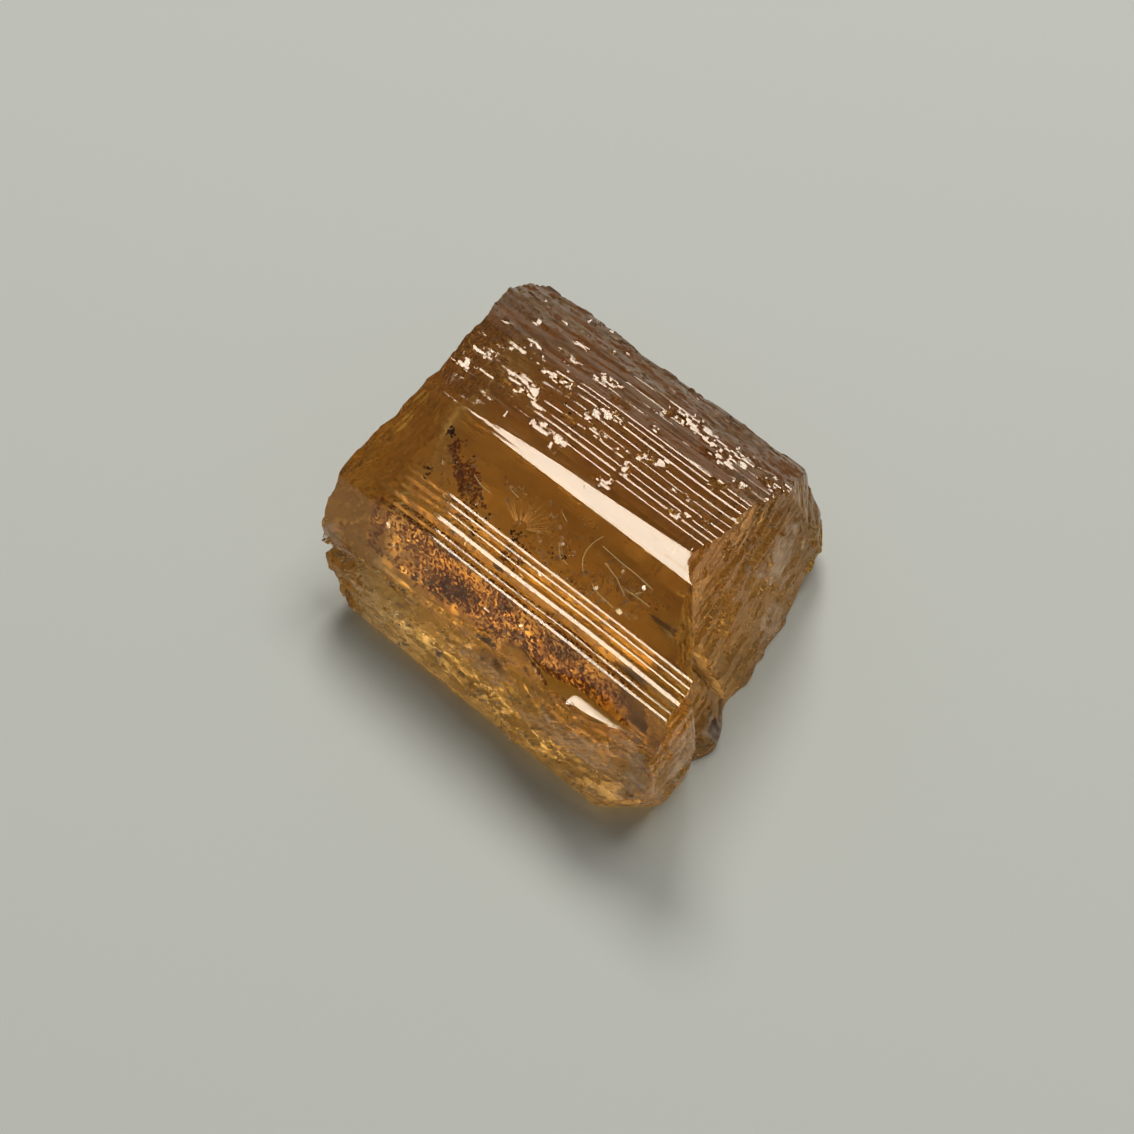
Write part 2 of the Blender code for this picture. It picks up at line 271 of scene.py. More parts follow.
# %% [markdown]
# Both ends are breaks. A break isn't flat: it is a set of cleavage ledges that mostly run one way, over
# slow waves. Each end is written as a distance along the crystal for every height and place across, so the
# same function shapes the edge of the sides and the face that closes the end.

# %% The broken ends
def hackle(s, t, seed, fine_share=1.0, flat=0.8):
    along_break, across_break = s + 0.2 * t, t - 0.2 * s
    waves = 0.20 * grain(along_break, across_break, 0.0, (3.4, 2.2, 1.0), seed=seed)
    rough = 0.13 * grain(along_break, across_break, 0.0, (1.6, 0.55, 1.0), octaves=4, seed=seed + 4)
    fine = 0.055 * grain(along_break, across_break, 0.0, (1.1, 0.17, 1.0), octaves=3, seed=seed + 9)
    return ledges(waves + rough, 0.10, flat) + fine_share * ledges(fine, 0.028, 0.6)


def rear_foot_chip(y, z):
    plane = 10.05 - (0.50 * (y - 8.9) - 0.60 * (z - 0.6)) / 0.62
    return plane + 0.9 * hackle(y, z, 31.0)


def right_end(y, z):
    rear_face = np.minimum(11.72 - 0.17 * y - 0.17 * z, 9.05 + 0.9 * (9.5 - y) + 0.4 * (3.0 - z))
    lobe_face = 11.76 - 0.117 * y + 0.12 * z
    slant_face = 13.95 - 0.96 * y - 0.045 * z
    front_chip = 10.55 + 1.00 * y + 0.55 * z
    knob = 0.55 * hump(y, 3.4, 0.7) * hump(z, 0.5, 0.8)
    end = np.minimum(np.maximum(rear_face + knob, np.minimum(lobe_face, slant_face)), front_chip)
    return np.minimum(end + hackle(y, z, 11.0), rear_foot_chip(y, z))


def left_end(y, z):
    rear_face = 1.38 - 0.38 * (y - 4.0)
    front_face = 1.55 - 0.34 * (2.9 - y)
    foot = 1.85 - 0.75 * z - 0.55 * y
    notch = 0.28 * (1 - smooth_step(z, 2.2, 2.6)) * (1 - smooth_step(y, 0.8, 1.6))
    middle = np.minimum(np.minimum(rear_face, front_face), 1.36)
    rounded = 0.35 * smooth_step(y, 9.2, 10.2)
    return np.maximum(middle, foot) + notch + rounded + 0.55 * hackle(y, z, 23.0, fine_share=0.25, flat=0.45)


END_CELL = 0.05
end_y = np.arange(-1.0, 10.8, END_CELL)
end_z = np.arange(-0.4, 6.9, END_CELL)
grid_y, grid_z = np.meshgrid(end_y, end_z, indexing="ij")
right_table = right_end(grid_y, grid_z)
left_table = left_end(grid_y, grid_z)


def read_end(table, y, z):
    """The end's distance at places between the table's own."""
    fy = np.clip((y - end_y[0]) / END_CELL, 0, len(end_y) - 1.001)
    fz = np.clip((z - end_z[0]) / END_CELL, 0, len(end_z) - 1.001)
    iy, iz = fy.astype(int), fz.astype(int)
    ty, tz = fy - iy, fz - iz
    low = table[iy, iz] * (1 - ty) + table[iy + 1, iz] * ty
    high = table[iy, iz + 1] * (1 - ty) + table[iy + 1, iz + 1] * ty
    return low * (1 - tz) + high * tz


print("end tables:", right_table.shape)

# %% [markdown]
# The rings are set between the two ends: a point at share t of the length lies between the left end and
# the right end of its own height and place across. Its cross-section depends on where it is along the
# crystal, so the place is found in a few rounds.

# %% Rings between the ends
STATIONS = 212
SHARES = np.linspace(0.0, 1.0, STATIONS + 1)[:, None]
around_index = np.arange(AROUND)[None, :]


def read_outline(table, x):
    row = np.clip((x - TABLE_START) / TABLE_STEP, 0, TABLE_ROWS - 1.001)
    i = row.astype(int)
    t = (row - i)[..., None]
    return table[i, around_index] * (1 - t) + table[i + 1, around_index] * t


x = 1.3 + 9.4 * SHARES + np.zeros((1, AROUND))
for _ in range(5):
    yz = read_outline(outlines, x)
    start = read_end(left_table, yz[..., 0], yz[..., 1])
    end = read_end(right_table, yz[..., 0], yz[..., 1])
    x = start + (end - start) * SHARES
outward = read_outline(directions, x)
outward = outward / np.linalg.norm(outward, axis=2, keepdims=True)
y, z = yz[..., 0], yz[..., 1]
print("ring points:", x.size, "from x", round(x.min(), 2), "to", round(x.max(), 2))

# %% [markdown]
# Now the relief. The broken front has a hackly surface with ledges along the crystal. Behind the ridge the
# crystal was etched, and topaz etches into level terraces that all face one way: that is why so many of
# them flash at once. They are made by rounding the height to steps, in patches that a noise picks out.

# %% Relief of the faces
PITS = [
    (2.6, 5.0, 0.55), (3.5, 6.3, 0.60), (4.6, 5.3, 0.50), (4.9, 6.9, 0.70), (6.0, 7.9, 0.65),
    (6.7, 6.1, 0.45), (7.5, 7.4, 0.60), (8.5, 6.6, 0.55), (9.2, 7.9, 0.70),
]


def front_relief(x, z):
    waves = 0.20 * grain(x, 0.0, z, (3.0, 1.0, 1.3), seed=3.1)
    rough = 0.20 * grain(x + 0.6 * z, 0.0, z, (1.1, 1.0, 0.45), octaves=4, seed=7.7)
    patch = smooth_step(grain(x, 0.0, z, (1.4, 1.0, 0.7), seed=27.7), -0.1, 0.35)
    fine = 0.09 * patch * grain(x + 0.5 * z, 0.0, z, (0.6, 1.0, 0.2), seed=17.7)
    groove = -0.30 * hump(z, 1.9 + 0.05 * x, 0.26) * (1 - smooth_step(x, 2.6, 4.8))
    return ledges(waves + rough, 0.11, 0.45) + ledges(fine, 0.03, 0.6) + groove


def pit_depth(x, y):
    depth = np.zeros_like(x)
    for place_x, place_y, length in PITS:
        spread = ((x - place_x) / (length / 2)) ** 2 + ((y - place_y) / (length / 4)) ** 2
        depth = np.maximum(depth, 0.18 * length * np.sqrt(np.clip(1 - spread, 0, None)))
    return depth


sway = 0.015 * grain(x, y, z, (6.0, 2.5, 2.5), seed=1.3)
streaks = 0.32 * grain(x, y, z, (3.6, 0.8, 0.8), octaves=4, seed=5.2)
striae = 0.010 * grain(x, y, z, (5.0, 0.16, 0.16), octaves=2, seed=9.4)
chatter = 0.030 * grain(x, y, z, (0.5, 0.22, 0.22), octaves=3, seed=14.0)
left_side = 1 - smooth_step(x, 2.6, 5.0)
relief = sway * (1 - WEIGHTS["base"])
relief = relief + WEIGHTS["front"] * front_relief(x, z)
rear_hackle = ledges(0.25 * streaks + 1.4 * chatter, 0.035, 0.55)
relief = relief + WEIGHTS["rear"] * (0.22 * streaks + rear_hackle) + 0.2 * WEIGHTS["front"] * chatter
relief = relief + (WEIGHTS["shoulder"] * (0.25 + 0.9 * left_side) + WEIGHTS["flank"] * 0.5) * striae
relief = relief + WEIGHTS["rear_stair"] * left_side * (striae * 2.0 + 0.6 * chatter)
relief = relief + 0.35 * WEIGHTS["rear_shoulder"] * (streaks * 0.30 + 0.3 * chatter)
above_foot = smooth_step(z, 0.30, 0.60)
relief = relief * above_foot
y = y + outward[..., 0] * relief
z = z + outward[..., 1] * relief
under = WEIGHTS["base"] * smooth_step(y, 0.9, 1.6) * (1 - smooth_step(y, 8.4, 9.2))
z = z + under * 0.10 * np.abs(grain(x, y, 0.0, (1.7, 0.9, 1.0), seed=44.0))
etched = WEIGHTS["rear_stair"] + WEIGHTS["rear_shoulder"] + WEIGHTS["bevel"]
z = z - etched * pit_depth(x, y)
print("relief from", round(relief.min(), 3), "to", round(relief.max(), 3), "mm")

# %% Etched terraces
patches = grain(x, y, z, (0.9, 0.6, 0.6), octaves=4, seed=51.0)
wander = 0.07 * grain(x, y, z, (0.5, 0.3, 0.3), octaves=3, seed=58.0)
more_left = 0.14 * hump(x, 1.9, 1.2) * hump(y, 5.2, 0.9)
more_middle = 0.30 * hump(x, 4.7, 1.0) * hump(y, 5.9, 0.5)
more_rear = 0.28 * smooth_step(x, 5.4, 6.6) * smooth_step(y, 6.6, 7.4) * (1 - 0.8 * smooth_step(y, 8.3, 8.9))
fewer = 0.12 * smooth_step(y, 8.3, 9.0)
etch = smooth_step(patches + more_left + more_middle + more_rear - fewer, 0.30, 0.42)
etch = etch * np.clip(etched, 0, 1) * above_foot
terraced = ledges(z + wander, 0.075, 0.64) + 0.03
z = z + etch * (terraced - z)
print("share of the rear that is terraced:", round(float((etch * etched).sum() / etched.sum() / STATIONS), 3))

# %% Close the length again
start = read_end(left_table, y, z)
end = read_end(right_table, y, z)
x = start + (end - start) * SHARES
side_points = np.stack([x, y, z], axis=2)
print("length between the ends:", round(float((end - start).min()), 2), "to", round(float((end - start).max()), 2))

# %% [markdown]
# The end faces are filled with a grid of points inside the last ring, joined by a triangulation that keeps
# the ring as its border. The right end has an open cleft where its lobe meets the rest, and two round
# hollows below it, so its points are sunk there. That needs a finer grid than the left end has.

# %% End faces
GASH_TOP = np.array([3.64, 2.75])
GASH_TIP = np.array([4.48, 0.40])
END_HOLLOWS = [(3.47, 0.71, 0.24), (2.85, 0.55, 0.26)]


def gash_depth(y, z):
    run = GASH_TIP - GASH_TOP
    share = np.clip(((y - GASH_TOP[0]) * run[0] + (z - GASH_TOP[1]) * run[1]) / (run @ run), -0.05, 1.05)
    off = np.hypot(y - GASH_TOP[0] - share * run[0], z - GASH_TOP[1] - share * run[1])
    half_width = 0.27 - 0.22 * np.clip(share, 0, 1)
    return 1.3 * np.clip(1 - off / half_width, 0, 1)


def hollow_depth(y, z):
    depth = np.zeros_like(y)
    for place_y, place_z, radius in END_HOLLOWS:
        depth = np.maximum(depth, np.sqrt(np.clip(radius ** 2 - (y - place_y) ** 2 - (z - place_z) ** 2, 0, None)))
    return depth


def inside(points, ring):
    y, z = points[:, 0:1], points[:, 1:2]
    a, b = ring, np.roll(ring, -1, 0)
    spans = (a[:, 1] > z) != (b[:, 1] > z)
    rise = np.where(b[:, 1] == a[:, 1], 1e-9, b[:, 1] - a[:, 1])
    crossing = a[:, 0] + (z - a[:, 1]) * (b[:, 0] - a[:, 0]) / rise
    return (spans & (y < crossing)).sum(axis=1) % 2 == 1


def gap_to_ring(points, ring):
    """Distance from each point to the nearest side of the ring."""
    side = np.roll(ring, -1, 0) - ring
    reach = points[:, None, :] - ring[None, :, :]
    share = np.clip((reach * side).sum(axis=2) / (side * side).sum(axis=1), 0, 1)
    return np.linalg.norm(reach - share[..., None] * side, axis=2).min(axis=1)


def end_face(ring, table, cell, sunk):
    """Points inside the ring as [x, y, z], and triangles over ring points first and then these."""
    rows = np.arange(ring[:, 1].min(), ring[:, 1].max(), cell * 0.87)
    places = [
        (u + (0.5 * cell if i % 2 else 0.0), v)
        for i, v in enumerate(rows)
        for u in np.arange(ring[:, 0].min(), ring[:, 0].max(), cell)
    ]
    places = np.array(places)
    places = places[inside(places, ring)]
    places = places[gap_to_ring(places, ring) > 0.55 * cell]
    flat = [Vector(p) for p in np.concatenate([ring, places]).tolist()]
    found = geometry.delaunay_2d_cdt(flat, [], [list(range(len(ring)))], 1, 1e-6)
    origins = [ids[0] if ids else None for ids in found[3]]
    if None in origins:
        raise RuntimeError("the ring of an end crosses itself")
    triangles = [[origins[i] for i in face] for face in found[2]]
    depth = read_end(table, places[:, 0], places[:, 1]) + sunk(places[:, 0], places[:, 1])
    return np.column_stack([depth, places]), triangles


right_points, right_faces = end_face(
    side_points[-1][:, 1:], right_table, 0.064, lambda y, z: -gash_depth(y, z) - hollow_depth(y, z))
left_points, left_faces = end_face(side_points[0][:, 1:], left_table, 0.09, lambda y, z: 0.0 * y)
print("end triangles:", len(right_faces), len(left_faces))

# %% [markdown]
# Two numbers are kept at every point of the skin. Frost says how far the surface is ground or broken to a
# scattering one: high on the breaks and the hackly front, almost nothing on the grown faces. Stain says
# where iron-brown matter sits in cracks and pits. The material reads both.

# %% Frost and stain
STAINS = [
    (3.45, 0.18, 1.80, 0.16), (3.85, 0.15, 2.05, 0.14), (4.35, 0.12, 1.60, 0.13), (4.85, 0.10, 1.15, 0.14),
    (5.34, 0.06, 0.85, 0.16), (6.33, 0.40, 2.89, 0.15), (6.97, 0.27, 2.56, 0.14), (9.03, 0.11, 2.86, 0.15),
    (1.15, 9.81, 2.90, 0.50), (5.30, 9.50, 3.20, 0.55),
    (11.45, 3.60, 0.55, 0.34), (11.20, 3.40, 0.90, 0.22), (11.4, 2.85, 0.55, 0.24), (11.88, 0.89, 1.91, 0.07),
    (9.87, 6.37, 4.20, 0.10), (10.0, 6.19, 3.63, 0.08), (11.5, 0.30, 0.50, 0.30),
]

MILKY = [
    (2.3, 0.0, 2.4, 0.8, 0.30), (1.1, 0.3, 2.6, 0.4, 0.30), (9.7, 0.1, 2.2, 1.3, 0.75), (11.4, 0.6, 2.2, 1.0, 1.5),
    (11.8, 1.8, 1.8, 0.9, 1.4), (10.2, 7.6, 2.6, 0.8, 0.9), (10.3, 6.9, 0.6, 0.8, 0.6), (6.6, 0.2, 2.2, 0.9, 0.4),
    (4.3, 0.0, 2.4, 0.6, 0.25),
]


def stain_at(x, y, z):
    stain = np.zeros_like(x)
    ragged = grain(x, y, z, (0.5, 0.25, 0.25), seed=71.0)
    for px, py, pz, radius in STAINS:
        far = np.sqrt(((x - px) / 2.2) ** 2 + (y - py) ** 2 + (z - pz) ** 2) / (0.75 * radius)
        stain = np.maximum(stain, 0.8 * (1 - smooth_step(far + 1.1 * ragged, 0.3, 1.3)))
    return stain


mottle = grain(x, y, z, (1.6, 0.7, 0.7), octaves=4, seed=33.0)
side_frost = WEIGHTS["front"] * (0.04 + 0.60 * smooth_step(mottle - 0.25 * left_side, -0.15, 0.35))
satin = (0.26 + 0.36 * smooth_step(mottle, -0.2, 0.4)) * (1 - 0.9 * etch)
side_frost = side_frost + satin * (WEIGHTS["rear"] + 0.45 * WEIGHTS["rear_shoulder"])
side_frost = side_frost + WEIGHTS["base"] * 0.65 + 0.08 * WEIGHTS["shoulder"] * left_side
side_stain = stain_at(x, y, z)
crack = grain(x, 0.5 * y, z, (1.6, 0.35, 0.30), octaves=4, seed=82.0)
side_stain = np.maximum(side_stain, 0.8 * WEIGHTS["front"] * smooth_step(-np.abs(crack), -0.040, 0.0))


def end_finish(points, level):
    px, py, pz = points.T
    mottle = grain(0.3 * px, py, pz, (2.0, 1.8, 0.5), octaves=4, seed=37.0)
    return level * (0.55 + 0.45 * smooth_step(mottle, -0.4, 0.4)), stain_at(px, py, pz)


rear_patch = grain(x, y, z, (1.3, 0.5, 0.5), octaves=4, seed=91.0)
side_stain = np.maximum(side_stain, 0.70 * WEIGHTS["rear"] * smooth_step(rear_patch, -0.16, 0.20))
side_stain = np.maximum(side_stain, 0.45 * WEIGHTS["rear_shoulder"] * smooth_step(rear_patch, 0.0, 0.30))


rust = WEIGHTS["rear"] + WEIGHTS["rear_shoulder"] + 0.55 * WEIGHTS["rear_stair"] + 0.6 * WEIGHTS["flank"] * (1 - left_side)
side_rust = np.clip(rust * (0.50 + 0.50 * smooth_step(rear_patch, -0.25, 0.25)), 0, 1)


def milk_at(x, y, z):
    """Pale cloudy patches: (x, y, z, reach along x, reach across)."""
    milk = np.zeros_like(x)
    ragged = grain(x, y, z, (0.9, 0.35, 0.35), octaves=4, seed=63.0)
    for px, py, pz, long_reach, reach in MILKY:
        far = np.sqrt(((x - px) / long_reach) ** 2 + ((y - py) ** 2 + (z - pz) ** 2) / reach ** 2)
        milk = np.maximum(milk, 1 - smooth_step(far + 0.9 * ragged, 0.45, 1.15))
    return milk


side_milk = milk_at(x, y, z)
milk_values = np.concatenate([
    side_milk.ravel(), milk_at(*right_points.T), milk_at(*left_points.T),
])
right_frost, right_stain = end_finish(right_points, 0.26)
left_frost, left_stain = end_finish(left_points, 0.30)
gash_floor = gash_depth(right_points[:, 1], right_points[:, 2])
right_stain = np.maximum(right_stain, 0.7 * smooth_step(gash_floor, 0.1, 0.6))
frost_values = np.concatenate([np.clip(side_frost, 0, 1).ravel(), right_frost, left_frost])
stain_values = np.concatenate([side_stain.ravel(), right_stain, left_stain])
rust_values = np.concatenate([side_rust.ravel(), 0.0 * right_stain, 0.0 * left_stain])
print("mean frost and stain:", round(float(frost_values.mean()), 3), round(float(stain_values.mean()), 3))

# %% Join the skin
def skin_mesh():
    total = (STATIONS + 1) * AROUND
    points = np.concatenate([side_points.reshape(-1, 3), right_points, left_points])
    points = (points - np.array([CENTRE_X, CENTRE_Y, 0.0])) * MM
    faces = []
    for s in range(STATIONS):
        row = s * AROUND
        for k in range(AROUND):
            n = (k + 1) % AROUND
            faces.append((row + k, row + n, row + AROUND + n, row + AROUND + k))
    last_ring = STATIONS * AROUND
    right_map = list(range(last_ring, last_ring + AROUND)) + list(range(total, total + len(right_points)))
    left_start = total + len(right_points)
    left_map = list(range(AROUND)) + list(range(left_start, left_start + len(left_points)))
    faces += [tuple(right_map[i] for i in face) for face in right_faces]
    faces += [tuple(left_map[i] for i in face) for face in left_faces]
    mesh = bpy.data.meshes.new("topaz_skin")
    mesh.from_pydata(points.tolist(), [], faces)
    checked = bmesh.new()
    checked.from_mesh(mesh)
    bmesh.ops.recalc_face_normals(checked, faces=checked.faces)
    if checked.calc_volume(signed=True) < 0:
        bmesh.ops.reverse_faces(checked, faces=checked.faces)
    open_edges = sum(1 for edge in checked.edges if len(edge.link_faces) != 2)
    print("volume in cubic millimetres:", round(checked.calc_volume() * 1e9, 1), "open edges:", open_edges)
    checked.to_mesh(mesh)
    checked.free()
    kept = {"frost": frost_values, "stain": stain_values, "milk": milk_values, "rust": rust_values}
    for name, values in kept.items():
        mesh.attributes.new(name, "FLOAT", "POINT").data.foreach_set("value", values.astype(np.float32))
    mesh.polygons.foreach_set("use_smooth", [True] * len(mesh.polygons))
    mesh.set_sharp_from_angle(angle=math.radians(7))
    return mesh


skin = skin_mesh()
crystal = bpy.data.objects.new("topaz_skin", skin)
scene.collection.objects.link(crystal)
triangles = sum(len(face.vertices) - 2 for face in skin.polygons)
print("triangles in the skin:", triangles)

# %% [markdown]
# Topaz is see-through, so its colour isn't painted on: light loses blue, then green, for every millimetre
# it travels inside. That is a volume absorption set on its own sockets, with the refractive index of topaz
# at the surface. Frost makes the surface rougher and paler, stain makes it brown and opaque, and a noise
# drawn out along the crystal gives the finest striations as bump.

# %% Node helpers
def put(nodes, kind, **values):
    """A node with its properties or its input sockets set by name."""
    node = nodes.new(kind)
    for key, value in values.items():
        if hasattr(node, key):
            setattr(node, key, value)
        else:
            node.inputs[key.replace("_", " ")].default_value = value
    return node


def new_material(name):
    material = bpy.data.materials.new(name)
    material.use_nodes = True
    tree = material.node_tree
    shader = tree.nodes["Principled BSDF"]
    return material, tree, shader


def in_millimetres(tree, stretch=(1.0, 1.0, 1.0)):
    """Object coordinates counted in millimetres, stretched along the crystal's own axes."""
    coordinates = put(tree.nodes, "ShaderNodeTexCoord")
    mapping = put(tree.nodes, "ShaderNodeMapping")
    mapping.inputs["Scale"].default_value = [1000.0 * value for value in stretch]
    tree.links.new(coordinates.outputs["Object"], mapping.inputs["Vector"])
    return mapping.outputs["Vector"]


def noise_at(tree, vector, scale, detail=4.0, roughness=0.5):
    node = put(tree.nodes, "ShaderNodeTexNoise", Scale=scale, Detail=detail, Roughness=roughness)
    tree.links.new(vector, node.inputs["Vector"])
    return node.outputs["Fac"]


def remap(tree, value, low, high, out_low, out_high):
    node = put(tree.nodes, "ShaderNodeMapRange", From_Min=low, From_Max=high, To_Min=out_low, To_Max=out_high)
    tree.links.new(value, node.inputs["Value"])
    return node.outputs["Result"]


def blend(tree, share, first, second):
    """Mixes two colours, or a colour and a socket, by a socket."""
    node = put(tree.nodes, "ShaderNodeMix", data_type="RGBA")
    for socket, value in ((node.inputs[6], first), (node.inputs[7], second)):
        if isinstance(value, tuple):
            socket.default_value = value
        else:
            tree.links.new(value, socket)
    tree.links.new(share, node.inputs[0])
    return node.outputs[2]


def maths(tree, operation, first, second):
    node = put(tree.nodes, "ShaderNodeMath", operation=operation)
    for socket, value in zip(node.inputs, (first, second)):
        if isinstance(value, float):
            socket.default_value = value
        else:
            tree.links.new(value, socket)
    return node.outputs[0]


print("node helpers ready")

# %% Topaz
CLEAR = (0.99, 0.97, 0.94, 1.0)
FROSTED = (0.97, 0.76, 0.44, 1.0)
MILK = (0.98, 0.62, 0.27, 1.0)
RUST_FILM = (0.44, 0.19, 0.04, 1.0)
IRON_BROWN = (0.13, 0.045, 0.012, 1.0)
TOPAZ_IOR = 1.62
ABSORPTION = (0.99, 0.73, 0.02, 1.0)
ABSORPTION_DENSITY = 195.0


def topaz_material():
    material, tree, shader = new_material("topaz")
    frost = put(tree.nodes, "ShaderNodeAttribute", attribute_name="frost").outputs["Fac"]
    stain = put(tree.nodes, "ShaderNodeAttribute", attribute_name="stain").outputs["Fac"]
    even = in_millimetres(tree)
    drawn_out = in_millimetres(tree, (0.12, 1.0, 1.0))
    patchy = maths(tree, "MULTIPLY", frost, remap(tree, noise_at(tree, even, 3.0, 5.0), 0.3, 0.7, 0.65, 1.25))
    shader.inputs["IOR"].default_value = TOPAZ_IOR
    shader.inputs["Specular Tint"].default_value = (1.0, 0.91, 0.78, 1.0)
    streaks = remap(tree, noise_at(tree, in_millimetres(tree, (0.06, 1.0, 1.0)), 7.0, 3.0), 0.48, 0.68, 0.0, 0.16)
    rough = maths(tree, "ADD", remap(tree, patchy, 0.0, 0.75, 0.02, 0.46), streaks)
    tree.links.new(rough, shader.inputs["Roughness"])
    milk = put(tree.nodes, "ShaderNodeAttribute", attribute_name="milk").outputs["Fac"]
    milky = maths(tree, "MULTIPLY", milk, remap(tree, noise_at(tree, even, 2.2, 6.0), 0.3, 0.65, 0.15, 0.62))
    rust = put(tree.nodes, "ShaderNodeAttribute", attribute_name="rust").outputs["Fac"]
    colour = blend(tree, rust, blend(tree, patchy, CLEAR, FROSTED), RUST_FILM)
    colour = blend(tree, milky, colour, MILK)
    colour = blend(tree, stain, colour, IRON_BROWN)
    tree.links.new(colour, shader.inputs["Base Color"])
    opaque = maths(tree, "MAXIMUM", remap(tree, patchy, 0.3, 1.0, 0.0, 0.14), remap(tree, stain, 0.0, 1.0, 0.0, 0.8))
    opaque = maths(tree, "MAXIMUM", opaque, milky)
    tree.links.new(maths(tree, "SUBTRACT", 1.0, opaque), shader.inputs["Transmission Weight"])
    striae = remap(tree, noise_at(tree, drawn_out, 9.0, 5.0, 0.6), 0.2, 0.8, 0.0, 1.0)
    grit = maths(tree, "MULTIPLY", noise_at(tree, even, 16.0, 4.0), patchy)
    bump = put(tree.nodes, "ShaderNodeBump", Strength=0.20, Distance=0.000012)
    tree.links.new(maths(tree, "ADD", striae, maths(tree, "MULTIPLY", grit, 2.0)), bump.inputs["Height"])
    tree.links.new(bump.outputs["Normal"], shader.inputs["Normal"])
    absorption = put(tree.nodes, "ShaderNodeVolumeAbsorption", Color=ABSORPTION, Density=ABSORPTION_DENSITY)
    tree.links.new(absorption.outputs["Volume"], tree.nodes["Material Output"].inputs["Volume"])
    return material


crystal.data.materials.append(topaz_material())
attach(crystal, "root")
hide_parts("topaz_crystal")
print("topaz: refractive index", TOPAZ_IOR, "density", ABSORPTION_DENSITY)

# %% [markdown]
# Inside, the crystal isn't clean. Old cracks have healed into films that flash gold, fine needles fan out
# below the shoulder face, and small iron-brown grains sit in clusters. They repeat by the hundred, so
# Geometry Nodes scatter them: each tree takes a plain host, places one small shape many times, turns the
# result into real mesh and gives it its material.

# %% Geometry Nodes helpers
def metres(points):
    return [((x - CENTRE_X) * MM, (y - CENTRE_Y) * MM, z * MM) for x, y, z in points]


def new_tree(name, sizes):
    """A node tree with a geometry input and output, and named inputs for its sizes."""
    tree = bpy.data.node_groups.new(name, "GeometryNodeTree")
    tree.interface.new_socket("Geometry", in_out="INPUT", socket_type="NodeSocketGeometry")
    tree.interface.new_socket("Geometry", in_out="OUTPUT", socket_type="NodeSocketGeometry")
    for label, value in sizes.items():
        kind = "NodeSocketInt" if isinstance(value, int) else "NodeSocketFloat"
        tree.interface.new_socket(label, in_out="INPUT", socket_type=kind)
    return tree, tree.nodes.new("NodeGroupInput"), tree.nodes.new("NodeGroupOutput")


def grown(name, host, tree, sizes):
    """Runs the tree on the host and keeps the result as a plain mesh of its own."""
    carrier = bpy.data.objects.new(name + "_host", host)
    scene.collection.objects.link(carrier)
    modifier = carrier.modifiers.new("grow", "NODES")
    modifier.node_group = tree
    for item in tree.interface.items_tree:
        if item.in_out == "INPUT" and item.name in sizes:
            modifier[item.identifier] = sizes[item.name]
    graph = bpy.context.evaluated_depsgraph_get()
    mesh = bpy.data.meshes.new_from_object(carrier.evaluated_get(graph))
    mesh.name = name
    carrier.modifiers.remove(modifier)
    bpy.data.objects.remove(carrier)
    piece = bpy.data.objects.new(name, mesh)
    scene.collection.objects.link(piece)
    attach(piece, "root")
    print(name, "triangles:", sum(len(face.vertices) - 2 for face in mesh.polygons))
    return piece


def finish_tree(tree, output, geometry, material):
    """Every tree ends the same way: real mesh, then the material."""
    real = tree.nodes.new("GeometryNodeRealizeInstances")
    painted = put(tree.nodes, "GeometryNodeSetMaterial")
    painted.inputs["Material"].default_value = material
    tree.links.new(geometry, real.inputs["Geometry"])
    tree.links.new(real.outputs["Geometry"], painted.inputs["Geometry"])
    tree.links.new(painted.outputs["Geometry"], output.inputs["Geometry"])


def plain_material(name, colour, roughness, metallic=0.0, grain_scale=40.0):
    """A small dry finish whose colour and roughness vary a little from place to place."""
    material, tree, shader = new_material(name)
    mottle = noise_at(tree, in_millimetres(tree), grain_scale * 0.1)
    darker = tuple(0.6 * value for value in colour[:3]) + (1.0,)
    tree.links.new(blend(tree, mottle, colour, darker), shader.inputs["Base Color"])
    tree.links.new(remap(tree, mottle, 0.2, 0.8, roughness * 0.6, roughness * 1.4), shader.inputs["Roughness"])
    shader.inputs["Metallic"].default_value = metallic
    return material


def see_through(name, colour, refraction, clear_share):
    """A film that lets most light by and flashes where it mirrors a lamp."""
    material, tree, shader = new_material(name)
    mottle = noise_at(tree, in_millimetres(tree), 6.0)
    tree.links.new(remap(tree, mottle, 0.2, 0.8, 0.06, 0.22), shader.inputs["Roughness"])
    shader.inputs["Base Color"].default_value = colour
    shader.inputs["IOR"].default_value = refraction
    shader.inputs["Transmission Weight"].default_value = clear_share
    return material


print("growing helpers ready")

# %% [markdown]
# A healed crack is a curved sheet of tiny flat films. The sheet is only a host: the tree scatters thin
# six-sided plates over it, thicker where a noise is high, and turns each a little off the sheet.

